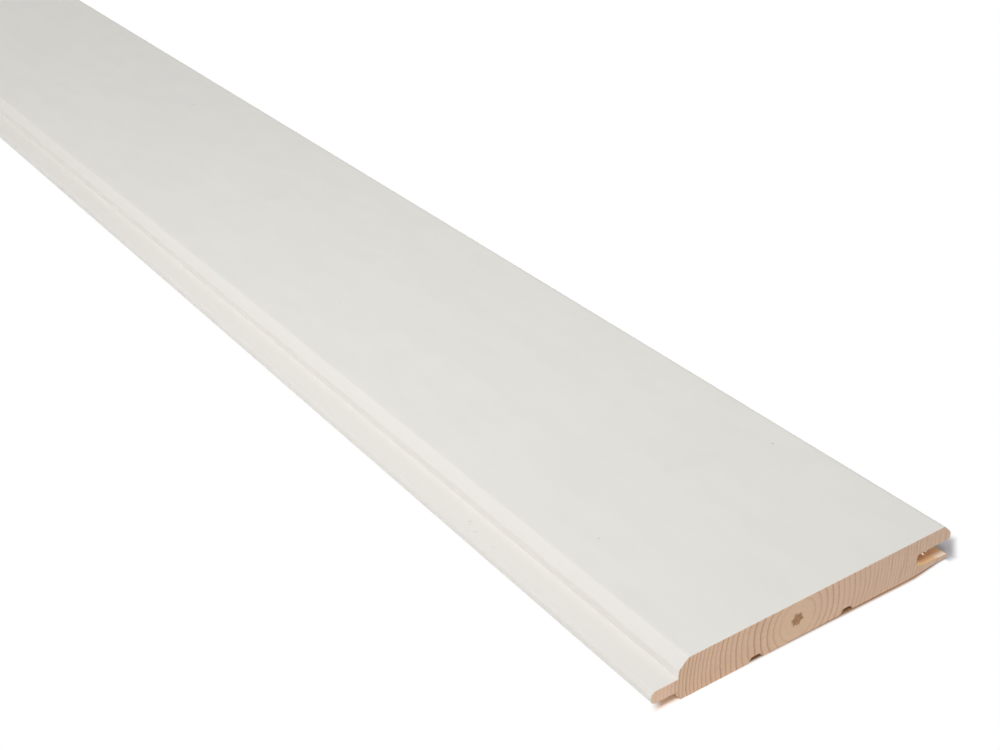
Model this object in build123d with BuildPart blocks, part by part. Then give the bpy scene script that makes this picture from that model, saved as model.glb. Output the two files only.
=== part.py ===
# Wall panelling board: one length of softwood, moulded with a tongue and a groove, painted on its face.
# X runs across the board from the tongue to the groove, Y along it, and Z up from its back.
import os

from build123d import *

# Board, in millimetres
board_length = 2400.0
board_thickness = 14.0
cover_width = 110.5  # what shows once the next board is fitted

# Soft bevel along both edges of the face
bevel_width = 3.2
bevel_drop = 3.2
bevel_crest_radius = 2.0
bevel_foot_radius = 1.4

# Tongue, and the eased back edge below it
tongue_length = 9.5
tongue_thickness = 4.4
tongue_height = 3.5  # its underside, above the back
tongue_top_radius = 1.6
tongue_tip_radius = 1.8
back_edge_width = 1.5
back_edge_height = 2.0
back_edge_radius = 1.0

# Groove for the next board's tongue, wider at its mouth
tongue_clearance = 0.2  # above and below the tongue
tongue_end_gap = 5.0  # past the tongue's tip
upper_lip_flare = 0.3
lower_lip_flare = 0.9
groove_root_radius = 0.5
lip_edge_radius = 0.3

# Relief under the lower lip, which keeps it off the wall
lip_relief_height = 0.9
lip_relief_width = 3.0
lip_relief_run = 12.0
lip_relief_radius = 20.0

# Two shallow channels along the back
channel_spacing = 37.0
channel_width = 5.4
channel_depth = 1.8
channel_wall_angle = 62.0
channel_floor_radius = 0.5

# Places across the section, centred on the overall width
shoulder_x = (tongue_length - cover_width) / 2
tongue_tip_x = shoulder_x - tongue_length
lip_x = shoulder_x + cover_width
groove_root_x = lip_x - tongue_length - tongue_end_gap
core_centre_x = (shoulder_x + groove_root_x) / 2
lip_relief_x = lip_x - lip_relief_width

# Heights above the back
bevel_foot = board_thickness - bevel_drop
tongue_top = tongue_height + tongue_thickness
groove_floor = tongue_height - tongue_clearance
groove_ceiling = tongue_top + tongue_clearance
mouth_top = groove_ceiling + upper_lip_flare
mouth_bottom = groove_floor - lower_lip_flare

# One back channel, standing on the back, with its floor at the top
with BuildSketch() as channel_section:
    Trapezoid(channel_width, channel_depth, channel_wall_angle, align=(Align.CENTER, Align.MIN))
    fillet(channel_section.vertices().group_by(Axis.Y)[-1], channel_floor_radius)

with BuildPart() as panelling_board:
    with BuildSketch(Plane.XZ) as section:
        # Body between the shoulder and the lips, with a crisp flat to lie on
        with BuildLine():
            FilletPolyline(
                (shoulder_x + back_edge_width, 0),
                (shoulder_x, back_edge_height),
                (shoulder_x, bevel_foot),
                (shoulder_x + bevel_width, board_thickness),
                (lip_x - bevel_width, board_thickness),
                (lip_x, bevel_foot),
                (lip_x, lip_relief_height),
                (lip_relief_x, lip_relief_height),
                (lip_relief_x - lip_relief_run, 0),
                radius=(
                    0,
                    back_edge_radius,
                    bevel_foot_radius,
                    bevel_crest_radius,
                    bevel_crest_radius,
                    bevel_foot_radius,
                    lip_edge_radius,
                    lip_relief_radius,
                    0,
                ),
                close=True,
            )
        make_face()

        # Tongue, with more rounding under its tip to lead it in
        with BuildLine():
            FilletPolyline(
                (shoulder_x, tongue_top),
                (tongue_tip_x, tongue_top),
                (tongue_tip_x, tongue_height),
                (shoulder_x, tongue_height),
                radius=(tongue_top_radius, tongue_tip_radius),
            )
            Line((shoulder_x, tongue_height), (shoulder_x, tongue_top))
        make_face()

        # Groove, flared so that the lips thin towards their edges
        with BuildLine():
            FilletPolyline(
                (lip_x, mouth_top),
                (groove_root_x, groove_ceiling),
                (groove_root_x, groove_floor),
                (lip_x, mouth_bottom),
                radius=groove_root_radius,
            )
            Line((lip_x, mouth_bottom), (lip_x, mouth_top))
        make_face(mode=Mode.SUBTRACT)

        # The lip edges hold four corners, and the middle two are the mouth of the groove
        lip_corners = section.vertices().group_by(Axis.X)[-1].sort_by(Axis.Y)
        fillet(lip_corners[1:3], lip_edge_radius)

        # Back channels, either side of the middle of the solid wood
        with Locations((core_centre_x, 0)):
            with GridLocations(channel_spacing, 0, 2, 1):
                add(channel_section.sketch, mode=Mode.SUBTRACT)
    extrude(amount=board_length / 2, both=True)

panelling_board.part.label = "panelling_board"

os.makedirs("parts", exist_ok=True)
export_step(panelling_board.part, "parts/panelling_board.step")
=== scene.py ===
import bpy
import math
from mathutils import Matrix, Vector, geometry, noise


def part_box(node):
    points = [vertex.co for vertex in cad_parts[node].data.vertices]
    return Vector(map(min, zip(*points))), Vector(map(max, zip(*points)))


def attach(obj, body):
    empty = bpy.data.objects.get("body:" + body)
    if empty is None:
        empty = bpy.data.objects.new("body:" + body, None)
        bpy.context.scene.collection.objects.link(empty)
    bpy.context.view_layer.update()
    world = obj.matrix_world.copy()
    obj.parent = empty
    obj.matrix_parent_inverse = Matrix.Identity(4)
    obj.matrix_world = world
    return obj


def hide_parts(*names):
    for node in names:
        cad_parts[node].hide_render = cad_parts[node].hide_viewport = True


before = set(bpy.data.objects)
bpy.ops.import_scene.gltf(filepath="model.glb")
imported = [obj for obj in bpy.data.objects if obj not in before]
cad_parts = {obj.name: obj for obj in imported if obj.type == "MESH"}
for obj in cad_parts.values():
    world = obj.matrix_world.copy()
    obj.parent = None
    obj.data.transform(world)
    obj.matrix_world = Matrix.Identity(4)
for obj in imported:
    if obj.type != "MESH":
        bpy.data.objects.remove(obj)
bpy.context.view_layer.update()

mm = 0.001
boardLow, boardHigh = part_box("panelling_board")
nearEnd, farEnd = boardLow.y, boardHigh.y
boardLength = (farEnd - nearEnd) / mm

# section of the board in mm, x from the tongue's shoulder and z from the back
boardSection = {
    "coverWidth": 110.5,
    "thickness": 14.0,
    "bevelWidth": 3.2,
    "bevelDrop": 3.2,
    "crestRadius": 2.0,
    "footRadius": 1.4,
    "tongueLength": 9.5,
    "tongueThickness": 4.4,
    "tongueHeight": 3.5,
    "tongueTopRadius": 1.6,
    "tongueTipRadius": 1.8,
    "paintCove": 0.35,        # paint pooled in the corner above the tongue
    "backEdgeWidth": 1.5,
    "backEdgeHeight": 2.0,
    "backEdgeRadius": 1.0,
    "backArris": 0.25,        # hand softness of the flat's own corners
    "tongueClearance": 0.2,
    "tongueEndGap": 5.0,
    "upperFlare": 0.3,
    "lowerFlare": 0.9,
    "grooveRootRadius": 0.5,
    "lipEdgeRadius": 0.3,
    "lipReliefHeight": 0.9,
    "lipReliefWidth": 3.0,
    "lipReliefRun": 12.0,
    "lipReliefRadius": 20.0,
    "channelSpacing": 37.0,
    "channelWidth": 5.4,
    "channelDepth": 1.8,
    "channelWallAngle": 62.0,
    "channelFloorRadius": 0.5,
}

# how finely the board is meshed, in mm
boardMesh = {
    "arcStepDeg": 9.0,
    "edgeStep": 1.2,
    "tongueStep": 0.45,
    "rowStep": 40.0,
    "endRows": (0.14, 0.5, 1.5, 4.0, 10.0, 22.0),
    "dentRowStep": 0.45,
    "endGrid": 0.5,
    "rimGap": 0.6,            # share of the grid kept clear inside the outline
    "heartGrid": 0.2,
    "heartReach": 3.5,
}

# what the saw left on the two ends, in mm
sawCut = {
    "arrisEase": 0.06,
    "arrisChip": 0.14,
    "backChip": 0.34,              # the blade breaks out along the back
    "backChipSpan": (36.0, 84.0),  # between these places across the board
    "chipsPerMm": 1.9,
    "chipFrom": 0.25,              # only the roughest spots chip
    "ripple": 0.02,
    "rippleLean": 0.35,
    "rippleTurn": 2.6,             # radians a mm
    "tearsPerMm": 1.1,
    "tearSeed": 3.7,
    "heartDepth": 0.35,
    "seeds": (11.3, 47.9),         # near end, far end
}

# bruises on top of the tongue: x, y from the near end, radius, depth, in mm
tongueDents = (
    (-4.7, 93.2, 0.75, 0.16),
    (-5.6, 91.8, 0.50, 0.10),
    (-8.3, 89.6, 0.50, 0.12),
    (-6.9, 88.4, 0.45, 0.10),
    (-6.1, 87.8, 0.60, 0.14),
    (-8.1, 82.3, 0.50, 0.08),
    (-6.4, 77.9, 0.60, 0.10),
)

dentForm = {
    "reach": 2.0,             # radii along the board that are meshed finely
    "uneven": 0.6,
    "unevenPerMm": 2.3,
    "seed": 1.1,
    "cornerGap": 0.4,         # mm kept clear beside the shoulder
    "topSkin": 0.3,           # mm below the top that still gives way
}

# middle of the tree on the near end in section mm, a ragged star of soft wood
heart = {
    "x": 45.1,
    "z": 7.4,
    "points": 6.0,
    "turn": 0.6,
    "hollow": (1.5, 0.5),     # radius of the hollow, and what the points add
    "stain": (0.95, 2.8),     # radius of the stain, and what its ragged edge adds
    "stainPoint": 0.3,
    "stainFade": (0.70, 1.10),
    "crumbs": 0.62,           # what is left of the stain where the soft wood crumbled
}
shoulderX = (boardSection["tongueLength"] - boardSection["coverWidth"]) / 2


def sectionCorners(s):
    # corners anticlockwise from the back's tongue side: x, z, rounding, finish of the edge that follows
    lip = s["coverWidth"]
    root = lip - s["tongueLength"] - s["tongueEndGap"]
    tip = -s["tongueLength"]
    tongueTop = s["tongueHeight"] + s["tongueThickness"]
    floor = s["tongueHeight"] - s["tongueClearance"]
    ceiling = tongueTop + s["tongueClearance"]
    foot = s["thickness"] - s["bevelDrop"]
    corners = [(s["backEdgeWidth"], 0, s["backArris"], "bare")]
    mouthHalf = s["channelWidth"] / 2
    floorHalf = mouthHalf - s["channelDepth"] / math.tan(math.radians(s["channelWallAngle"]))
    for side in (-1, 1):
        middle = root / 2 + side * s["channelSpacing"] / 2
        corners.append((middle - mouthHalf, 0, s["backArris"], "bare"))
        corners.append((middle - floorHalf, s["channelDepth"], s["channelFloorRadius"], "bare"))
        corners.append((middle + floorHalf, s["channelDepth"], s["channelFloorRadius"], "bare"))
        corners.append((middle + mouthHalf, 0, s["backArris"], "bare"))
    relief = lip - s["lipReliefWidth"]
    corners += [
        (relief - s["lipReliefRun"], 0, s["lipReliefRadius"] / 4, "bare"),
        (relief, s["lipReliefHeight"], s["lipReliefRadius"], "bare"),
        (lip, s["lipReliefHeight"], s["lipEdgeRadius"], "bare"),
        (lip, floor - s["lowerFlare"], s["lipEdgeRadius"], "bare"),
        (root, floor, s["grooveRootRadius"], "bare"),
        (root, ceiling, s["grooveRootRadius"], "bare"),
        (lip, ceiling + s["upperFlare"], s["lipEdgeRadius"], "edge"),
        (lip, foot, s["footRadius"], "paint"),
        (lip - s["bevelWidth"], s["thickness"], s["crestRadius"], "paint"),
        (s["bevelWidth"], s["thickness"], s["crestRadius"], "paint"),
        (0, foot, s["footRadius"], "paint"),
        (0, tongueTop, s["paintCove"], "paint"),
        (tip, tongueTop, s["tongueTopRadius"], "edge"),
        (tip, s["tongueHeight"], s["tongueTipRadius"], "bare"),
        (0, s["tongueHeight"], 0, "bare"),
        (0, s["backEdgeHeight"], s["backEdgeRadius"], "bare"),
    ]
    return corners


def roundedOutline(corners, m):
    # walks the corners, turns each rounded one into an arc and splits the long straights
    anchors = []
    for i, (x, z, radius, finish) in enumerate(corners):
        here = Vector((x, z))
        before = Vector(corners[i - 1][:2])
        after = Vector(corners[(i + 1) % len(corners)][:2])
        wasFinish = corners[i - 1][3]
        inDir = (here - before).normalized()
        outDir = (after - here).normalized()
        turn = inDir.angle_signed(outDir)  # clockwise is positive here
        if radius == 0:
            anchors.append((here, finish))
            continue
        reach = radius * math.tan(abs(turn) / 2)
        start = here - inDir * reach
        toCentre = Vector((-inDir.y, inDir.x)) * (-1 if turn > 0 else 1)
        centre = start + toCentre * radius
        steps = max(2, math.ceil(math.degrees(abs(turn)) / m["arcStepDeg"]))
        spoke = start - centre
        for k in range(steps + 1):
            angle = -turn * k / steps
            point = centre + Vector((
                spoke.x * math.cos(angle) - spoke.y * math.sin(angle),
                spoke.x * math.sin(angle) + spoke.y * math.cos(angle),
            ))
            anchors.append((point, wasFinish if k < steps / 2 else finish))
    outline = []
    for i, (point, finish) in enumerate(anchors):
        following = anchors[(i + 1) % len(anchors)][0]
        onTongue = finish == "paint" and point.x <= 0 and following.x < 0
        step = m["tongueStep"] if onTongue else m["edgeStep"]
        pieces = max(1, math.ceil((following - point).length / step))
        for k in range(pieces):
            outline.append((point.lerp(following, k / pieces), finish))
    return outline


def outlineNormals(outline):
    # the outline runs anticlockwise, so these point outward
    normals = []
    for i in range(len(outline)):
        along = outline[(i + 1) % len(outline)][0] - outline[i - 1][0]
        normals.append(Vector((along.y, -along.x)).normalized())
    return normals


def insideOutline(x, z, ring):
    inside = False
    for (ax, az), (bx, bz) in zip(ring, ring[1:] + ring[:1]):
        if (az > z) != (bz > z) and x < (bx - ax) * (z - az) / (bz - az) + ax:
            inside = not inside
    return inside


def nearOutline(x, z, ring, gap):
    for (ax, az), (bx, bz) in zip(ring, ring[1:] + ring[:1]):
        if min(ax, bx) - gap > x or max(ax, bx) + gap < x:
            continue
        ux, uz = bx - ax, bz - az
        t = max(0.0, min(1.0, ((x - ax) * ux + (z - az) * uz) / max(ux * ux + uz * uz, 1e-12)))
        if math.hypot(ax + ux * t - x, az + uz * t - z) < gap:
            return True
    return False


def endRelief(x, z):
    # how far the sawn end sits below flat: saw ripple, torn fibre and the soft heart
    cut = sawCut
    ripple = math.sin((x * cut["rippleLean"] + z) * cut["rippleTurn"]) * cut["ripple"]
    torn = noise.noise(Vector((x * cut["tearsPerMm"], z * cut["tearsPerMm"], cut["tearSeed"])))
    away = math.hypot(x - heart["x"], z - heart["z"])
    turn = math.atan2(z - heart["z"], x - heart["x"])
    mean, point = heart["hollow"]
    star = mean + point * math.cos(heart["points"] * turn + heart["turn"])
    hollow = cut["heartDepth"] * max(0.0, 1 - (away / star) ** 2)
    return max(0.0, 2 * cut["ripple"] + ripple + torn * cut["ripple"] + hollow)


def endFacePoints(ring, m):
    # a loose grid over the sawn end, tighter round the heart
    points = []
    lowX, highX = min(p[0] for p in ring), max(p[0] for p in ring)
    lowZ, highZ = min(p[1] for p in ring), max(p[1] for p in ring)
    reach = m["heartReach"]
    for grid, nearHeart in ((m["endGrid"], False), (m["heartGrid"], True)):
        x0, x1 = (heart["x"] - reach, heart["x"] + reach) if nearHeart else (lowX, highX)
        z0, z1 = (heart["z"] - reach, heart["z"] + reach) if nearHeart else (lowZ, highZ)
        for j in range(int((z1 - z0) / grid) + 1):
            for i in range(int((x1 - x0) / grid) + 1):
                x = x0 + (i + 0.5 * (j % 2)) * grid
                z = z0 + (j + 0.25) * grid
                if (math.hypot(x - heart["x"], z - heart["z"]) < reach) != nearHeart:
                    continue
                if insideOutline(x, z, ring) and not nearOutline(x, z, ring, m["rimGap"] * grid):
                    points.append((x, z))
    return points


def rowPlaces(m):
    # where the loops stand along the board: close at the ends and over the bruises
    rows = list(m["endRows"])
    inner = boardLength - 2 * rows[-1]
    steps = math.ceil(inner / m["rowStep"])
    places = rows + [rows[-1] + inner * k / steps for k in range(1, steps)]
    places += [boardLength - d for d in reversed(rows)]
    first = min(y - dentForm["reach"] * radius for _, y, radius, _ in tongueDents)
    last = max(y + dentForm["reach"] * radius for _, y, radius, _ in tongueDents)
    fine = math.ceil((last - first) / m["dentRowStep"])
    places = [y for y in places if not first - m["dentRowStep"] < y < last + m["dentRowStep"]]
    places += [first + (last - first) * k / fine for k in range(fine + 1)]
    return sorted(places)


def dentDepth(x, y):
    form, depth = dentForm, 0.0
    spot = Vector((x * form["unevenPerMm"], y * form["unevenPerMm"], form["seed"]))
    uneven = 1 + form["uneven"] * noise.noise(spot)
    for dentX, dentY, radius, deep in tongueDents:
        away = math.hypot(x - dentX, y - dentY) / radius
        depth += deep * math.exp(-away * away) * uneven
    return depth


def makeBoard():
    s, m = boardSection, boardMesh
    outline = roundedOutline(sectionCorners(s), m)
    normals = outlineNormals(outline)
    count = len(outline)
    finishes = {"paint": 0, "edge": 1, "bare": 2, "end": 3}
    tongueTop = s["tongueHeight"] + s["tongueThickness"]
    dentStart, dentStop = -s["tongueLength"], -dentForm["cornerGap"]
    verts, faces, slots = [], [], []

    def place(x, y, z):
        verts.append(((x + shoulderX) * mm, nearEnd + y * mm, z * mm))
        return len(verts) - 1

    def easedRing(seed):
        # the last loop before the saw cut, pulled in a little and chipped here and there
        cut = sawCut
        chipStart, chipStop = cut["backChipSpan"]
        ring = []
        for i, (point, finish) in enumerate(outline):
            rough = noise.noise(Vector((point.x * cut["chipsPerMm"], point.y * cut["chipsPerMm"], seed)))
            onBack = finish == "bare" and normals[i].y < -0.7 and chipStart < point.x < chipStop
            chip = cut["backChip"] * (0.6 + 0.4 * rough) if onBack else 0.0
            chip += cut["arrisChip"] * max(0.0, rough - cut["chipFrom"]) / (1 - cut["chipFrom"])
            ring.append(point - normals[i] * (cut["arrisEase"] * (1 + 0.5 * rough) + chip))
        return ring

    loops = []
    for y in rowPlaces(m):
        loop = []
        for point, finish in outline:
            onTongue = dentStart < point.x < dentStop and point.y > tongueTop - dentForm["topSkin"]
            dent = dentDepth(point.x, y) if onTongue else 0.0
            loop.append(place(point.x, y, point.y - dent))
        loops.append(loop)
    for a, b in zip(loops, loops[1:]):
        for i in range(count):
            j = (i + 1) % count
            faces.append((a[i], b[i], b[j], a[j]))
            slots.append(finishes[outline[i][1]])

    nearSeed, farSeed = sawCut["seeds"]
    ends = ((0.0, loops[0], nearSeed, True), (boardLength, loops[-1], farSeed, False))
    for endY, loop, seed, facesBack in ends:
        ring = [(p.x, p.y) for p in easedRing(seed)]
        inside = endFacePoints(ring, m)
        flat = [Vector(p) for p in ring + inside]
        edges = [(i, (i + 1) % count) for i in range(count)]
        spots, _, triangles, origin, _, _ = geometry.delaunay_2d_cdt(flat, edges, [], 1, 1e-5)
        index = []
        for k, spot in enumerate(spots):
            onRim = bool(origin[k]) and origin[k][0] < count
            depth = 0.0 if onRim else endRelief(spot.x, spot.y)
            index.append(place(spot.x, endY + (depth if facesBack else -depth), spot.y))
        rim = [None] * count
        for k, source in enumerate(origin):
            for original in source:
                if original < count:
                    rim[original] = index[k]
        for tri in triangles:
            corner = [index[k] for k in tri]
            faces.append(tuple(corner) if facesBack else tuple(reversed(corner)))
            slots.append(finishes["end"])
        for i in range(count):
            j = (i + 1) % count
            strip = (rim[i], loop[i], loop[j], rim[j])
            faces.append(strip if facesBack else tuple(reversed(strip)))
            slots.append(finishes["end"])

    mesh = bpy.data.meshes.new("board")
    mesh.from_pydata(verts, [], faces)
    mesh.validate()
    mesh.polygons.foreach_set("material_index", slots)
    mesh.update()
    board = bpy.data.objects.new("board", mesh)
    bpy.context.scene.collection.objects.link(board)
    return board


board = makeBoard()
print("board meshed", len(board.data.vertices), "points", len(board.data.polygons), "faces")

# fibres the blade tore loose at the near end of the groove: points along each in section mm, and its width
tornFibres = (
    (((97.9, 0.4, 8.35), (98.0, 0.0, 7.75), (98.5, -0.2, 7.30), (99.0, -0.1, 7.15)), 0.55),
    (((99.3, 0.4, 8.40), (99.6, 0.0, 7.95), (99.9, -0.1, 7.70)), 0.40),
    (((96.7, 0.4, 3.10), (96.6, -0.1, 4.00), (96.5, -0.3, 4.90), (96.5, -0.2, 5.70)), 0.75),
    (((97.3, 0.4, 3.10), (97.1, -0.1, 3.70), (97.0, -0.2, 4.20)), 0.45),
)

fibreMesh = {
    "sides": 6,
    "flatness": 0.4,
    "taper": 0.75,            # share of the width lost by the tip
}


def makeFibres():
    sides = fibreMesh["sides"]
    verts, faces = [], []
    for points, width in tornFibres:
        first = len(verts)
        path = [Vector(p) for p in points]
        for i, point in enumerate(path):
            along = (path[min(i + 1, len(path) - 1)] - path[max(i - 1, 0)]).normalized()
            across = along.cross(Vector((0, 1, 0))).normalized()
            thin = along.cross(across)
            taper = 1 - fibreMesh["taper"] * i / (len(path) - 1)
            for k in range(sides):
                turn = 2 * math.pi * k / sides
                reach = across * math.cos(turn) + thin * fibreMesh["flatness"] * math.sin(turn)
                spot = point + reach * width * taper / 2
                verts.append(((spot.x + shoulderX) * mm, nearEnd + spot.y * mm, spot.z * mm))
        for i in range(len(path) - 1):
            for k in range(sides):
                a, b = first + i * sides + k, first + i * sides + (k + 1) % sides
                faces.append((a, b, b + sides, a + sides))
        faces.append(tuple(first + k for k in reversed(range(sides))))
        faces.append(tuple(len(verts) - sides + k for k in range(sides)))
    mesh = bpy.data.meshes.new("grooveFibres")
    mesh.from_pydata(verts, [], faces)
    mesh.update()
    fibres = bpy.data.objects.new("grooveFibres", mesh)
    bpy.context.scene.collection.objects.link(fibres)
    return fibres


fibres = makeFibres()
print("fibres meshed", len(fibres.data.polygons), "faces")


# small helpers for building materials
def srgb(red, green, blue):
    # a colour as read on screen, 0 to 255, as the shader wants it
    def linear(c):
        c = c / 255
        return c / 12.92 if c <= 0.04045 else ((c + 0.055) / 1.055) ** 2.4
    return (linear(red), linear(green), linear(blue), 1.0)


def addNode(tree, kind, plugs=None, **options):
    # one node with its options set: a socket is linked in, anything else is typed in
    node = tree.nodes.new("ShaderNode" + kind)
    for option, value in options.items():
        setattr(node, option, value)
    for socket, value in (plugs or {}).items():
        if isinstance(value, bpy.types.NodeSocket):
            tree.links.new(value, node.inputs[socket])
        else:
            node.inputs[socket].default_value = value
    return node


def sums(tree, operation, *values):
    return addNode(tree, "Math", dict(enumerate(values)), operation=operation).outputs[0]


def vector(tree, operation, *values):
    node = addNode(tree, "VectorMath", dict(enumerate(values)), operation=operation)
    return node.outputs["Value" if operation in ("DOT_PRODUCT", "LENGTH", "DISTANCE") else "Vector"]


def ease(tree, value, low, high, atLow=0.0, atHigh=1.0):
    plugs = {"Value": value, "From Min": low, "From Max": high, "To Min": atLow, "To Max": atHigh}
    return addNode(tree, "MapRange", plugs, interpolation_type="SMOOTHSTEP").outputs[0]


def cloud(tree, spot, scale, detail=2.0, roughness=0.5, squash=None):
    if squash:
        spot = vector(tree, "MULTIPLY", spot, squash)
    plugs = {"Vector": spot, "Scale": scale, "Detail": detail, "Roughness": roughness}
    return addNode(tree, "TexNoise", plugs).outputs[0]


def tint(tree, amount, under, over):
    return addNode(tree, "Mix", {0: amount, 6: under, 7: over}, data_type="RGBA").outputs[2]


def addBump(tree, shader, height, depthMm, strength=1.0):
    bump = addNode(tree, "Bump", {"Height": height, "Distance": depthMm * mm, "Strength": strength})
    tree.links.new(bump.outputs[0], shader.inputs["Normal"])


def newMaterial(name, **fixed):
    material = bpy.data.materials.new(name)
    material.use_nodes = True
    tree = material.node_tree
    shader = tree.nodes["Principled BSDF"]
    for socket, value in fixed.items():
        shader.inputs[socket.replace("_", " ")].default_value = value
    return material, tree, shader


def boardPlace(tree):
    # the spot on the board in section mm: x from the shoulder, y from the near end, z from the back
    local = addNode(tree, "TexCoord").outputs["Object"]
    grown = vector(tree, "SCALE", local)
    grown.node.inputs["Scale"].default_value = 1 / mm
    return vector(tree, "SUBTRACT", grown, (shoulderX, nearEnd / mm, 0.0))


# how the tree grew: year rings about a heart that wanders along the board
growth = {
    "ringsPerMm": 0.361,      # near the heart
    "crowding": 7.3e-5,       # and closer together further out
    "steadyFrom": 42.0,       # mm from the heart where they stop drawing closer
    "firstRing": 0.24,
    "lateStart": 0.36,        # share of a year where its dark wood starts, is full and ends
    "lateFull": 0.96,
    "lateEnd": 0.965,
    "yearSeed": 17744.0,
    "crowded": (26.0, 40.0),  # mm from the heart where the lines grow fuller and more alike
    "sharp": (2.8, 1.6),      # how sharply a ring darkens before that and after it
    "least": (0.3, 0.65),     # and how dark the weakest ring is
    "pale": (5.5, 10.5),      # the first years hardly show, in mm from the heart
    "paleShare": 0.12,
    "faint": (46.0, 60.0),    # and the last ones are fainter
    "faintShare": 0.8,
    "swayX": (6.0, 1900.0),   # how far the heart wanders, and over what length, in mm
    "swayZ": (4.0, 1300.0),
    "slowWarp": (1.1, 0.05),  # how far rings swell, and how often
    "quickWarp": (0.22, 0.5),
    "stretch": 0.03,          # grain is this much slower along the board
}

# branches that crossed the board: y from the near end, way out from the heart in degrees, lean, radius
knots = (
    (344.0, 22.0, 0.10, 4.0),
    (74.0, 13.0, -0.10, 3.2),
    (612.0, -78.0, 0.30, 6.0),
    (655.0, 118.0, 0.25, 4.5),
    (1130.0, -112.0, 0.35, 7.5),
    (1176.0, 40.0, 0.30, 5.0),
    (1640.0, -62.0, 0.28, 5.5),
    (2088.0, -96.0, 0.32, 6.5),
    (2130.0, 142.0, 0.25, 4.0),
)

# how a branch sits in the wood, in shares of its radius or as noted
knotForm = {
    "widens": (-2.0, 14.0),   # mm out from the heart
    "bendFrom": (-2.0, 6.0),  # likewise
    "bend": 0.5,              # how far the rings bend round it
    "bendFade": (0.9, 2.8),
    "edge": (0.92, 1.04),
    "rim": (0.6, 1.0),
    "ringTurn": 26.0,         # radians a radius
    "ringDark": 0.12,         # how much its own rings darken it
}


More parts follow.
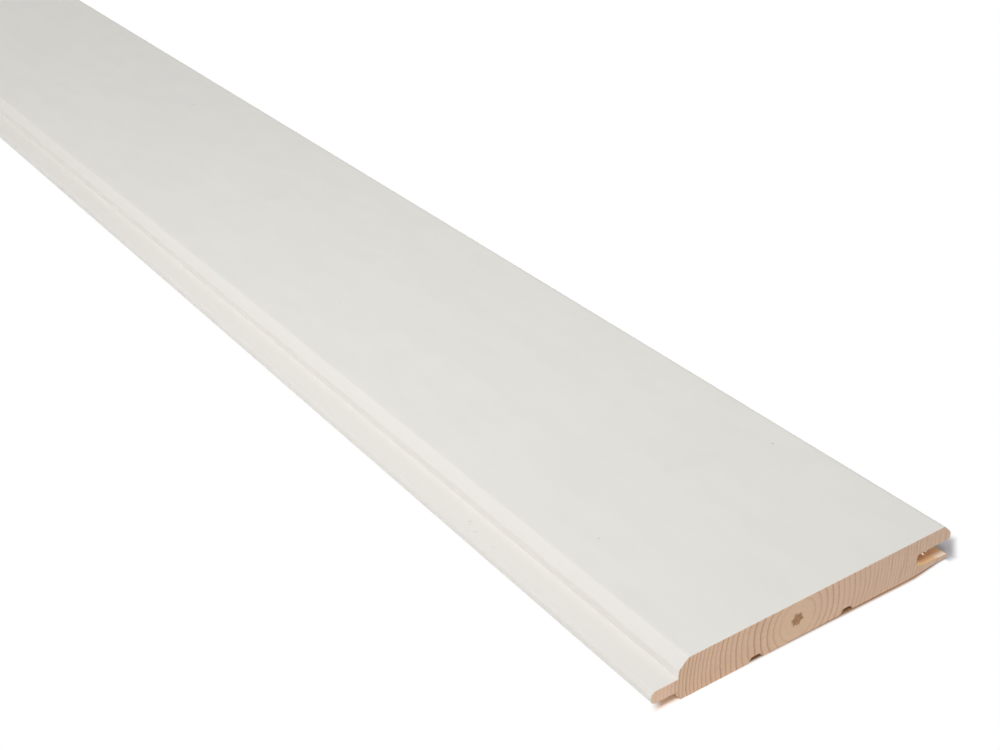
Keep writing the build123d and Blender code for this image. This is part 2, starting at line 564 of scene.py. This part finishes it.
def grownWood(tree):
    # the same tree for every material: where a spot lies in it, its latewood, heart and knots
    g, form = growth, knotForm
    spot = boardPlace(tree)
    x, y, z = addNode(tree, "SeparateXYZ", {0: spot}).outputs
    long = vector(tree, "MULTIPLY", spot, (1.0, g["stretch"], 1.0))

    def sway(setting):
        reach, span = g[setting]
        wave = sums(tree, "SINE", sums(tree, "MULTIPLY", y, 2 * math.pi / span))
        return sums(tree, "MULTIPLY", wave, reach)

    aside = sums(tree, "SUBTRACT", sums(tree, "SUBTRACT", x, heart["x"]), sway("swayX"))
    above = sums(tree, "SUBTRACT", sums(tree, "SUBTRACT", z, heart["z"]), sway("swayZ"))
    fromHeart = addNode(tree, "CombineXYZ", {0: aside, 1: 0.0, 2: above}).outputs[0]
    radius = vector(tree, "LENGTH", fromHeart)
    warped = radius
    for reach, often in (g["slowWarp"], g["quickWarp"]):
        swell = sums(tree, "SUBTRACT", cloud(tree, long, often, 1.0), 0.5)
        warped = sums(tree, "MULTIPLY_ADD", swell, 2 * reach, warped)

    knotMask, knotShare = None, None
    for knotY, way, lean, size in knots:
        turn = math.radians(way)
        out = tuple(Vector((math.cos(turn), lean, math.sin(turn))).normalized())
        pastKnot = sums(tree, "SUBTRACT", y, knotY)
        offset = addNode(tree, "CombineXYZ", {0: aside, 1: pastKnot, 2: above}).outputs[0]
        along = vector(tree, "DOT_PRODUCT", offset, out)
        away = vector(tree, "LENGTH", vector(tree, "CROSS_PRODUCT", offset, out))
        thick = ease(tree, along, *form["widens"], 0.0, size)
        share = sums(tree, "DIVIDE", away, sums(tree, "ADD", thick, 0.01))  # never by nothing
        bend = ease(tree, share, *form["bendFade"], 1.0, 0.0)
        bend = sums(tree, "MULTIPLY", bend, ease(tree, along, *form["bendFrom"]))
        warped = sums(tree, "MULTIPLY_ADD", bend, form["bend"] * size, warped)
        mask = ease(tree, share, *form["edge"], 1.0, 0.0)
        knotMask = mask if knotMask is None else sums(tree, "MAXIMUM", knotMask, mask)
        knotShare = share if knotShare is None else sums(tree, "MINIMUM", knotShare, share)

    # rings draw closer with the square of the distance, then keep their pitch
    inner = sums(tree, "MINIMUM", warped, g["steadyFrom"])
    squared = sums(tree, "MULTIPLY", inner, inner)
    perMm = sums(tree, "MULTIPLY_ADD", squared, g["crowding"], g["ringsPerMm"])
    year = sums(tree, "MULTIPLY_ADD", inner, perMm, g["firstRing"])
    steady = g["ringsPerMm"] + 3 * g["crowding"] * g["steadyFrom"] ** 2
    year = sums(tree, "MULTIPLY_ADD", sums(tree, "SUBTRACT", warped, inner), steady, year)
    whichYear = sums(tree, "ADD", sums(tree, "FLOOR", year), g["yearSeed"])
    luck = addNode(tree, "TexWhiteNoise", {"W": whichYear}, noise_dimensions="1D").outputs["Value"]
    season = sums(tree, "FRACT", year)
    crowded = ease(tree, radius, *g["crowded"])

    def byCrowd(setting):
        before, after = g[setting]
        return sums(tree, "MULTIPLY_ADD", crowded, after - before, before)

    late = ease(tree, season, g["lateStart"], g["lateFull"])
    late = sums(tree, "POWER", late, byCrowd("sharp"))
    late = sums(tree, "MULTIPLY", late, ease(tree, season, g["lateEnd"], 1.0, 1.0, 0.0))
    least = byCrowd("least")
    strength = sums(tree, "MULTIPLY_ADD", sums(tree, "SUBTRACT", 1.0, least), luck, least)
    late = sums(tree, "MULTIPLY", late, strength)
    late = sums(tree, "MULTIPLY", late, ease(tree, radius, *g["pale"], g["paleShare"], 1.0))
    late = sums(tree, "MULTIPLY", late, ease(tree, radius, *g["faint"], 1.0, g["faintShare"]))

    around = sums(tree, "ARCTAN2", above, aside)
    points = sums(tree, "COSINE", sums(tree, "MULTIPLY_ADD", around, heart["points"], heart["turn"]))
    ragged = cloud(tree, spot, 1.3, 3.0, squash=(1.0, 0.1, 1.0))
    mean, edge = heart["stain"]
    star = sums(tree, "MULTIPLY_ADD", ragged, edge, mean)
    star = sums(tree, "MULTIPLY_ADD", points, heart["stainPoint"], star)
    crumbs = cloud(tree, spot, 2.6, 2.0)
    pith = ease(tree, sums(tree, "DIVIDE", radius, star), *heart["stainFade"], 1.0, 0.0)
    pith = sums(tree, "MULTIPLY", pith, ease(tree, crumbs, 0.35, 0.65, 1.0, heart["crumbs"]))
    return {
        "spot": spot,
        "long": long,
        "x": x,
        "y": y,
        "z": z,
        "radius": radius,
        "late": late,
        "pith": pith,
        "knot": knotMask,
        "knotShare": knotShare,
    }


# raw wood, colours as seen on screen, with painted shade and painted light for the groove and the end's
# back edge
woodLook = {
    "early": (222, 189, 164),
    "young": (223, 193, 165),       # the paler wood round the heart
    "youngFade": (5.4, 13.5),       # mm from it
    "youngShare": 0.8,
    "patch": (205, 164, 134),
    "patchShare": 0.16,
    "warm": (226, 194, 156),
    "warmShare": 0.35,
    "lipTone": (222, 197, 177),     # greyer towards the lip
    "tongueTone": (240, 206, 181),  # the tongue's end is the palest
    "unevenTone": (182, 146, 120),
    "pores": (150, 112, 86),
    "scratch": (236, 208, 178),
    # painted shade along the back edge of the sawn end
    "backEdgeShade": (122, 86, 60),
    "planed": (241, 214, 182),      # along the grain it is lighter than on the end
    "streak": (208, 164, 122),
    "late": (164, 114, 76),
    "pith": (150, 104, 62),
    # painted shade deep in the groove, and painted light near its ends and mouth
    "grooveWarmShade": (238, 186, 134),
    "grooveLitGold": (234, 198, 148),
    "grooveLitPale": (242, 231, 217),
    "knotHeart": (171, 112, 70),
    "knotRim": (112, 70, 44),
}


def woodColour(tree, wood, early, lateShare):
    w, form = woodLook, knotForm
    young = ease(tree, wood["radius"], *w["youngFade"], w["youngShare"], 0.0)
    ground = tint(tree, young, srgb(*w[early]), srgb(*w["young"]))
    patch = ease(tree, cloud(tree, wood["long"], 0.12, 3.0), 0.35, 0.75, 0.0, w["patchShare"])
    ground = tint(tree, patch, ground, srgb(*w["patch"]))
    warm = ease(tree, cloud(tree, wood["long"], 0.45, 2.0), 0.4, 0.7, 0.0, w["warmShare"])
    ground = tint(tree, warm, ground, srgb(*w["warm"]))
    colour = tint(tree, sums(tree, "MULTIPLY", wood["late"], lateShare), ground, srgb(*w["late"]))
    colour = tint(tree, wood["pith"], colour, srgb(*w["pith"]))
    knotRings = sums(tree, "SINE", sums(tree, "MULTIPLY", wood["knotShare"], form["ringTurn"]))
    rim = ease(tree, wood["knotShare"], *form["rim"])
    knotDark = sums(tree, "MULTIPLY_ADD", knotRings, form["ringDark"], rim)
    knotColour = tint(tree, knotDark, srgb(*w["knotHeart"]), srgb(*w["knotRim"]))
    return tint(tree, wood["knot"], colour, knotColour)


# the sawn ends: places across the board and heights above its back in mm, and the share of each tone
sawnLook = {
    "late": 0.66,
    "lipTone": (38.0, 100.0, 0.0, 0.5),  # two places, and the share at each
    "tongueTone": (-5.0, 2.0, 0.6, 0.0),
    "uneven": (66.0, 88.0),      # streaks by the lip
    "unevenShare": 0.42,
    "pores": 0.16,
    "scratches": 0.10,
    "lipRise": (94.0, 108.0),
    # painted shade along the back edge: where it starts across the board, how dark, and how high it
    # reaches
    "backShade": (32.0, 42.0),
    "backShadeShare": 0.8,
    "backShadeHeight": (76.0, 90.0, 0.65, 0.35),  # two places, and the height at each
}


def sawnEnd():
    material, tree, shader = newMaterial("sawnEnd", Roughness=0.82, Specular_IOR_Level=0.25)
    wood = grownWood(tree)
    w, s, x = woodLook, sawnLook, wood["x"]
    colour = woodColour(tree, wood, "early", s["late"])
    for tone in ("lipTone", "tongueTone"):
        colour = tint(tree, ease(tree, x, *s[tone]), colour, srgb(*w[tone]))
    uneven = cloud(tree, wood["spot"], 0.8, 2.0, squash=(1.3, 1.0, 0.1))
    uneven = ease(tree, uneven, 0.42, 0.72, 0.0, s["unevenShare"])
    uneven = sums(tree, "MULTIPLY", uneven, ease(tree, x, *s["uneven"]))
    colour = tint(tree, uneven, colour, srgb(*w["unevenTone"]))
    speckle = cloud(tree, wood["spot"], 3.2, 3.0, 0.65)  # open pores of the cut fibres
    colour = tint(tree, ease(tree, speckle, 0.42, 0.72, 0.0, s["pores"]), colour, srgb(*w["pores"]))
    # the blade's passes, steep across the end
    scratch = cloud(tree, wood["spot"], 1.4, 2.0, squash=(4.0, 1.0, 0.35))
    colour = tint(tree, ease(tree, scratch, 0.5, 0.8, 0.0, s["scratches"]), colour, srgb(*w["scratch"]))
    # painted shade: a dark band along the back of the groove's half, where the blade broke out and the end
    # meets the floor
    lipRise = ease(tree, x, *s["lipRise"], 0.0, boardSection["lipReliefHeight"])
    aboveBack = sums(tree, "SUBTRACT", wood["z"], lipRise)
    aboveBack = sums(tree, "MULTIPLY_ADD", speckle, 0.3, aboveBack)
    backShadeTop = ease(tree, x, *s["backShadeHeight"])
    backShade = ease(tree, aboveBack, 0.1, backShadeTop, s["backShadeShare"], 0.0)
    backShade = sums(tree, "MULTIPLY", backShade, ease(tree, x, *s["backShade"]))
    colour = tint(tree, backShade, colour, srgb(*w["backEdgeShade"]))
    tree.links.new(colour, shader.inputs["Base Color"])
    rough = sums(tree, "MULTIPLY_ADD", speckle, 0.7, scratch)
    height = sums(tree, "ADD", sums(tree, "MULTIPLY", wood["late"], 0.5), rough)
    addBump(tree, shader, height, 0.05, 0.6)
    return material


# planed wood on the back and in the groove, in mm
planedLook = {
    "late": 0.45,
    "streaks": 0.22,
    "groove": (-16.0, -14.6),    # past the lip's edge
    "grooveAbove": (1.4, 2.0),   # over the back
    # painted shade in the groove, then painted light near its ends and towards the mouth
    "grooveShadeShare": 0.7,
    "lightFromEnd": (0.6, 2.8),          # in from the end
    "lightShare": 0.85,
    "lightWander": 2.0,
    "lightPaler": (-6.5, -3.0),   # past the lip's edge
    "knifePitch": 1.8,           # of the planer
    "knifeShare": 0.12,
}


def planedColour(tree, wood):
    streak = cloud(tree, wood["spot"], 2.6, 3.0, 0.6, squash=(1.0, 0.012, 1.0))
    colour = woodColour(tree, wood, "planed", planedLook["late"])
    streaks = ease(tree, streak, 0.45, 0.8, 0.0, planedLook["streaks"])
    return tint(tree, streaks, colour, srgb(*woodLook["streak"])), streak


def planedWood():
    material, tree, shader = newMaterial("planedWood", Roughness=0.62, Specular_IOR_Level=0.35)
    wood = grownWood(tree)
    w, p = woodLook, planedLook
    colour, streak = planedColour(tree, wood)

    def pastLip(setting):
        low, high = p[setting]
        lip = boardSection["coverWidth"]
        return ease(tree, wood["x"], lip + low, lip + high)

    # painted shade and light in the groove: redder deeper in, where it lies in shade, and paler near the
    # ends and towards the mouth, where light reaches it
    inGroove = sums(tree, "MULTIPLY", pastLip("groove"), ease(tree, wood["z"], *p["grooveAbove"]))
    colour = tint(tree, sums(tree, "MULTIPLY", inGroove, p["grooveShadeShare"]), colour, srgb(*w["grooveWarmShade"]))
    fromEnd = sums(tree, "MINIMUM", wood["y"], sums(tree, "SUBTRACT", boardLength, wood["y"]))
    lightReach = sums(tree, "MULTIPLY_ADD", sums(tree, "SUBTRACT", streak, 0.5), p["lightWander"], fromEnd)
    lightFromEnd = sums(tree, "MULTIPLY", inGroove, ease(tree, lightReach, *p["lightFromEnd"], p["lightShare"], 0.0))
    lightColour = tint(tree, pastLip("lightPaler"), srgb(*w["grooveLitGold"]), srgb(*w["grooveLitPale"]))
    colour = tint(tree, lightFromEnd, colour, lightColour)
    tree.links.new(colour, shader.inputs["Base Color"])
    knives = sums(tree, "SINE", sums(tree, "MULTIPLY", wood["y"], 2 * math.pi / p["knifePitch"]))
    grain = sums(tree, "MULTIPLY_ADD", wood["late"], 0.5, streak)
    addBump(tree, shader, sums(tree, "MULTIPLY_ADD", knives, p["knifeShare"], grain), 0.04, 0.5)
    return material


# factory paint, with painted shade and painted light on some of its whites
paintLook = {
    "white": (227, 225, 219),
    "shade": (225, 223, 218),
    # painted shade on the bevels, the tongue beside the shoulder, the corner above it and its rounded
    # edge; painted light on the shoulder and the tongue's tip
    "bevelShade": (225, 221, 217),
    "shoulderLight": (238, 234, 230),
    "tongueWhite": (227, 224, 219),
    "innerShade": (225, 222, 217),
    "cornerShade": (223, 220, 215),
    "tongueEdgeShade": (221, 218, 214),
    "tipLight": (229, 226, 220),
    "grain": (190, 180, 165),    # showing through
    "grainShare": 0.012,
    "knot": (200, 194, 178),
    "knotShare": 0.05,
    "mark": (150, 146, 138),
    "tongueEdge": 3.2,           # paint stops about here down the tongue's tip
    "lipEdge": 9.1,              # and here down the lip
    "edgeWander": 1.2,           # mm up and down
    "edgeFade": (-0.25, 0.3),
    "roughness": (0.60, 0.68),
    "edgeRoughness": (0.68, 0.5),  # bare, painted
    # specks in the coat: x, y from the near end, radius in mm, how dark
    "specks": (
        (97.5, 64.6, 0.55, 0.45),
        (17.1, 56.4, 0.40, 0.45),
        (82.6, 479.0, 2.2, 0.10),
        (31.0, 236.0, 0.35, 0.45),
    ),
    "bruise": (1.1, 1.2),        # reach of a bruise's mark by its radius, and darkness by its depth
}

# where each white, painted shade and painted light fades in or out, in section mm: across the board, or
# above its back
lightAndShadePlaces = {
    "bevel": (13.3, 13.9),       # above
    "shoulderRun": 0.8,          # down from the bevel's foot
    "tongue": (-0.4, -0.1),      # across
    "innerFrom": (-6.0, -1.5),
    "innerTo": (-0.1, 0.0),
    "cornerFrom": (-1.3, -0.3),
    "cornerRise": (0.1, 0.5),    # above the tongue's top
    "tongueEdge": (-9.0, -7.4),
    "tip": (-8.0, -7.0),
    "tipRise": (6.2, 7.3),       # above
}


def paintColour(tree, wood):
    p, at, x, z = paintLook, lightAndShadePlaces, wood["x"], wood["z"]
    foot = boardSection["thickness"] - boardSection["bevelDrop"]
    tongueTop = boardSection["tongueHeight"] + boardSection["tongueThickness"]
    mottle = cloud(tree, wood["spot"], 0.11, 3.0, squash=(1.0, 0.4, 1.0))
    colour = tint(tree, ease(tree, mottle, 0.3, 0.7), srgb(*p["white"]), srgb(*p["shade"]))

    def upTo(value, low, high):
        return ease(tree, value, low, high, 1.0, 0.0)

    inner = sums(tree, "MULTIPLY", ease(tree, x, *at["innerFrom"]), upTo(x, *at["innerTo"]))
    cornerTop = upTo(z, *(tongueTop + rise for rise in at["cornerRise"]))
    corner = sums(tree, "MULTIPLY", ease(tree, x, *at["cornerFrom"]), cornerTop)
    tip = sums(tree, "MULTIPLY", upTo(x, *at["tip"]), upTo(z, *at["tipRise"]))
    # each tone lies over the ones before it: painted shade on the bevels, on the tongue beside the
    # shoulder, in the corner above it and on its rounded edge, painted light on the shoulder and the
    # tongue's tip
    tonesAndShade = (
        (upTo(z, *at["bevel"]), "bevelShade"),
        (upTo(z, foot - at["shoulderRun"], foot), "shoulderLight"),
        (upTo(x, *at["tongue"]), "tongueWhite"),
        (inner, "innerShade"),
        (corner, "cornerShade"),
        (upTo(x, *at["tongueEdge"]), "tongueEdgeShade"),
        (tip, "tipLight"),
        (sums(tree, "MULTIPLY", wood["late"], p["grainShare"]), "grain"),
        (sums(tree, "MULTIPLY", wood["knot"], p["knotShare"]), "knot"),
    )
    for amount, name in tonesAndShade:
        colour = tint(tree, amount, colour, srgb(*p[name]))

    wide, dim = p["bruise"]
    marks = list(p["specks"])
    marks += [(dentX, dentY, wide * radius, dim * deep) for dentX, dentY, radius, deep in tongueDents]
    flat = addNode(tree, "CombineXYZ", {0: x, 1: wood["y"], 2: 0.0}).outputs[0]
    for markX, markY, size, dark in marks:
        away = vector(tree, "DISTANCE", flat, (markX, markY, 0.0))
        colour = tint(tree, ease(tree, away, 0.4 * size, size, dark, 0.0), colour, srgb(*p["mark"]))
    return colour


def paintRelief(tree, wood):
    peel = cloud(tree, wood["spot"], 0.9, 2.0)
    grain = cloud(tree, wood["spot"], 1.6, 2.0, squash=(1.0, 0.02, 1.0))
    rings = sums(tree, "MULTIPLY_ADD", wood["late"], 0.4, peel)
    return sums(tree, "ADD", rings, sums(tree, "MULTIPLY", grain, 0.6))


def whitePaint():
    material, tree, shader = newMaterial("whitePaint", Specular_IOR_Level=0.2)
    wood = grownWood(tree)
    tree.links.new(paintColour(tree, wood), shader.inputs["Base Color"])
    rough = cloud(tree, wood["long"], 0.25, 2.0)
    tree.links.new(ease(tree, rough, 0.3, 0.7, *paintLook["roughness"]), shader.inputs["Roughness"])
    addBump(tree, shader, paintRelief(tree, wood), 0.02, 0.15)
    return material


def thinPaintEdge():
    # where the sprayed coat runs out on the tongue's tip and the lip
    material, tree, shader = newMaterial("thinPaintEdge", Specular_IOR_Level=0.35)
    wood = grownWood(tree)
    p = paintLook
    raw, _ = planedColour(tree, wood)
    stop = ease(tree, wood["x"], -1.0, 1.0, p["tongueEdge"], p["lipEdge"])
    wavy = cloud(tree, wood["spot"], 0.8, 4.0, 0.65, squash=(1.0, 0.12, 1.0))
    wavy = sums(tree, "MULTIPLY_ADD", wavy, 2 * p["edgeWander"], -p["edgeWander"])
    level = sums(tree, "ADD", sums(tree, "SUBTRACT", wood["z"], stop), wavy)
    cover = ease(tree, level, *p["edgeFade"])
    tree.links.new(tint(tree, cover, raw, paintColour(tree, wood)), shader.inputs["Base Color"])
    tree.links.new(ease(tree, cover, 0.0, 1.0, *p["edgeRoughness"]), shader.inputs["Roughness"])
    addBump(tree, shader, sums(tree, "MULTIPLY_ADD", cover, 1.5, paintRelief(tree, wood)), 0.03, 0.4)
    return material


fibreLook = {
    "pale": (252, 240, 216),
    "dark": (236, 206, 162),
}


def looseFibre():
    material, tree, shader = newMaterial("looseFibre", Roughness=0.75, Specular_IOR_Level=0.3)
    strand = cloud(tree, boardPlace(tree), 1.5, 2.0, squash=(4.0, 4.0, 0.8))
    dark = ease(tree, strand, 0.35, 0.7)
    colour = tint(tree, dark, srgb(*fibreLook["pale"]), srgb(*fibreLook["dark"]))
    tree.links.new(colour, shader.inputs["Base Color"])
    addBump(tree, shader, strand, 0.03, 0.4)
    return material


for finish in (whitePaint, thinPaintEdge, planedWood, sawnEnd):
    board.data.materials.append(finish())
fibres.data.materials.append(looseFibre())
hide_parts("panelling_board")
for piece in (board, fibres):
    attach(piece, "root")
print("paint and wood done")

# floor and world: where the painted shadow past the board's edges fades, in mm, and its colours on the
# paper beneath it
stageLook = {
    "floorSize": 40.0,           # m
    "floorDrop": 0.02,
    "floorWhite": 0.90,
    "tongueFade": (-5.0, -0.5),  # past the edge where its shade starts to fade, and is gone
    "tongueSlant": (0.6, 12.0),  # and how far that moves for each mm from the end, up to so far
    "lipFade": (1.8, 6.6),
    "lipSlant": (1.18, 5.5),
    "endFade": ((-1.3, 0.1), (0.2, 1.5)),  # at the tongue, and at the groove
    "endSpan": (0.0, 88.0),
    "lipEndFade": (-1.0, 2.2),
    "lipEndFrom": (-0.5, 1.0),   # past the lip
    "reliefShare": 1.4,          # the fade comes in under the lip by this much of its relief
    "tongueShade": (1.0, 0.80, 0.68, 1.0),
    "boardShade": (0.40, 0.24, 0.14, 1.0),
    "boardShadeRun": 30.0,       # from the shoulder
    "lipShade": (0.50, 0.50, 0.52, 1.0),
    "lipShadeAt": (-4.0, 1.0),   # past the lip
    "worldStrength": 0.405,
}


def seesBackground(tree):
    # the camera sees the background white, and so does what shines or lets light through
    path = addNode(tree, "LightPath")
    seen = path.outputs["Is Camera Ray"]
    for ray in ("Is Glossy Ray", "Is Transmission Ray"):
        seen = sums(tree, "MAXIMUM", seen, path.outputs[ray])
    return seen


def makeFloor():
    look = stageLook
    half = look["floorSize"] / 2
    z = -look["floorDrop"] * mm
    corners = [(-half, -half, z), (half, -half, z), (half, half, z), (-half, half, z)]
    mesh = bpy.data.meshes.new("floor")
    mesh.from_pydata(corners, [], [(0, 1, 2, 3)])
    floor = bpy.data.objects.new("floor", mesh)
    bpy.context.scene.collection.objects.link(floor)
    material = bpy.data.materials.new("floorWhite")
    material.use_nodes = True
    tree = material.node_tree
    tree.nodes.clear()
    place = addNode(tree, "TexCoord").outputs["Object"]
    across, along, _ = addNode(tree, "SeparateXYZ", {0: place}).outputs
    inward = sums(tree, "SUBTRACT", boardHigh.y, sums(tree, "ABSOLUTE", along))  # from either end, m

    def slanted(setting):
        slope, most = look[setting]
        return sums(tree, "MULTIPLY", sums(tree, "MINIMUM", inward, most * mm), slope)

    def gone(past, setting):
        low, high = look[setting]
        return ease(tree, past, low * mm, high * mm)

    def byLip(setting):
        low, high = look[setting]
        return ease(tree, across, boardHigh.x + low * mm, boardHigh.x + high * mm)

    def slide(low, high, atLow, atHigh):
        plugs = {"Value": across, "From Min": low, "From Max": high, "To Min": atLow, "To Max": atHigh}
        return addNode(tree, "MapRange", plugs).outputs[0]

    pastTip = sums(tree, "ADD", sums(tree, "SUBTRACT", boardLow.x, across), slanted("tongueSlant"))
    pastLip = sums(tree, "SUBTRACT", sums(tree, "SUBTRACT", across, boardHigh.x), slanted("lipSlant"))
    pastEnd = sums(tree, "MULTIPLY", inward, -1.0)
    reliefEnd = boardHigh.x - boardSection["lipReliefWidth"] * mm
    reliefStart = reliefEnd - boardSection["lipReliefRun"] * mm
    raised = slide(reliefStart, reliefEnd, 0.0, look["reliefShare"] * boardSection["lipReliefHeight"] * mm)
    left, right = ((shoulderX + x) * mm for x in look["endSpan"])
    (nearStart, nearStop), (farStart, farStop) = look["endFade"]
    fadeStart = slide(left, right, nearStart * mm, farStart * mm)
    fadeStop = slide(left, right, nearStop * mm, farStop * mm)
    endGone = ease(tree, sums(tree, "ADD", pastEnd, raised), fadeStart, fadeStop)
    lipEndGone = gone(pastEnd, "lipEndFade")
    endGone = addNode(tree, "Mix", {0: byLip("lipEndFrom"), 2: endGone, 3: lipEndGone}).outputs[0]
    sideGone = sums(tree, "MAXIMUM", gone(pastTip, "tongueFade"), gone(pastLip, "lipFade"))
    clear = sums(tree, "MAXIMUM", endGone, sideGone)
    seen = seesBackground(tree)
    # painted shadow: the camera sees the paper warm under the tongue, brown under the board and grey
    # beside the lip, while light bouncing off it sees white
    shoulder = shoulderX * mm
    underBoard = ease(tree, across, shoulder, shoulder + look["boardShadeRun"] * mm)
    under = tint(tree, underBoard, look["tongueShade"], look["boardShade"])
    under = tint(tree, byLip("lipShadeAt"), under, look["lipShade"])
    white = look["floorWhite"]
    paper = tint(tree, seen, (white, white, white, 1), under)
    matte = addNode(tree, "BsdfDiffuse", {"Color": paper}).outputs[0]
    glow = addNode(tree, "Emission", {"Strength": 1.0}).outputs[0]
    share = sums(tree, "MULTIPLY", clear, seen)
    both = addNode(tree, "MixShader", {0: share, 1: matte, 2: glow}).outputs[0]
    addNode(tree, "OutputMaterial", {"Surface": both})
    floor.data.materials.append(material)


def makeWorld():
    world = bpy.data.worlds.new("studio")
    bpy.context.scene.world = world
    world.use_nodes = True
    tree = world.node_tree
    background = tree.nodes["Background"]
    background.inputs["Color"].default_value = (1, 1, 1, 1)
    plugs = {"Value": seesBackground(tree), "To Min": stageLook["worldStrength"]}
    strength = addNode(tree, "MapRange", plugs).outputs[0]
    tree.links.new(strength, background.inputs["Strength"])


# soft boxes: place and aim in m from the shoulder, near end and back,
# then size in m, watts and spread in degrees
lamps = {
    "keyLamp": ((-0.318, -0.213, 0.859), (0.094, 1.0, 0.0), (0.45, 0.45), 5.4, 139.0),
    "sideFill": ((-1.10, 0.35, 0.32), (0.0, 0.35, 0.0), (1.40, 0.40), 0.8, 140.0),
    "middleLamp": ((-0.25, 1.27, 1.20), (0.05, 1.27, 0.0), (0.50, 0.30), 0.45, 56.0),
    "lengthLamp": ((-0.25, 1.75, 1.20), (0.05, 1.75, 0.0), (0.50, 0.40), 0.52, 60.0),
    "farLamp": ((-0.25, 2.25, 1.20), (0.05, 2.25, 0.0), (0.50, 0.40), 0.72, 60.0),
}


def addLamp(name, place, aim, size, power, spread):
    data = bpy.data.lights.new(name, "AREA")
    data.shape = "RECTANGLE"
    data.size, data.size_y = size
    data.energy = power
    data.spread = math.radians(spread)
    lamp = bpy.data.objects.new(name, data)
    lamp.location = Vector((shoulderX * mm, nearEnd, 0)) + Vector(place)
    lamp.rotation_euler = (Vector(aim) - Vector(place)).to_track_quat("-Z", "Y").to_euler()
    lamp.visible_camera = False
    bpy.context.scene.collection.objects.link(lamp)


makeFloor()
makeWorld()
for lampName, setting in lamps.items():
    addLamp(lampName, *setting)

# the photograph's view: place in mm from the shoulder, near end and back
photoView = {
    "place": (-216.87, -222.83, 280.36),
    "yaw": 35.278,            # degrees
    "pitch": 29.977,
    "focalPixels": 1484.6,
    "width": 1000,            # of the photograph in pixels
    "sensor": 36.0,           # mm
}


def makeCamera():
    v = photoView
    data = bpy.data.cameras.new("photoCamera")
    data.sensor_width = v["sensor"]
    data.lens = v["focalPixels"] * data.sensor_width / v["width"]
    camera = bpy.data.objects.new("photoCamera", data)
    x, y, z = v["place"]
    camera.location = ((x + shoulderX) * mm, nearEnd + y * mm, z * mm)
    camera.rotation_euler = (math.radians(90 - v["pitch"]), 0, math.radians(-v["yaw"]))
    bpy.context.scene.collection.objects.link(camera)
    bpy.context.scene.camera = camera


makeCamera()
bpy.context.scene.view_settings.view_transform = "Standard"
print("stage and camera set")
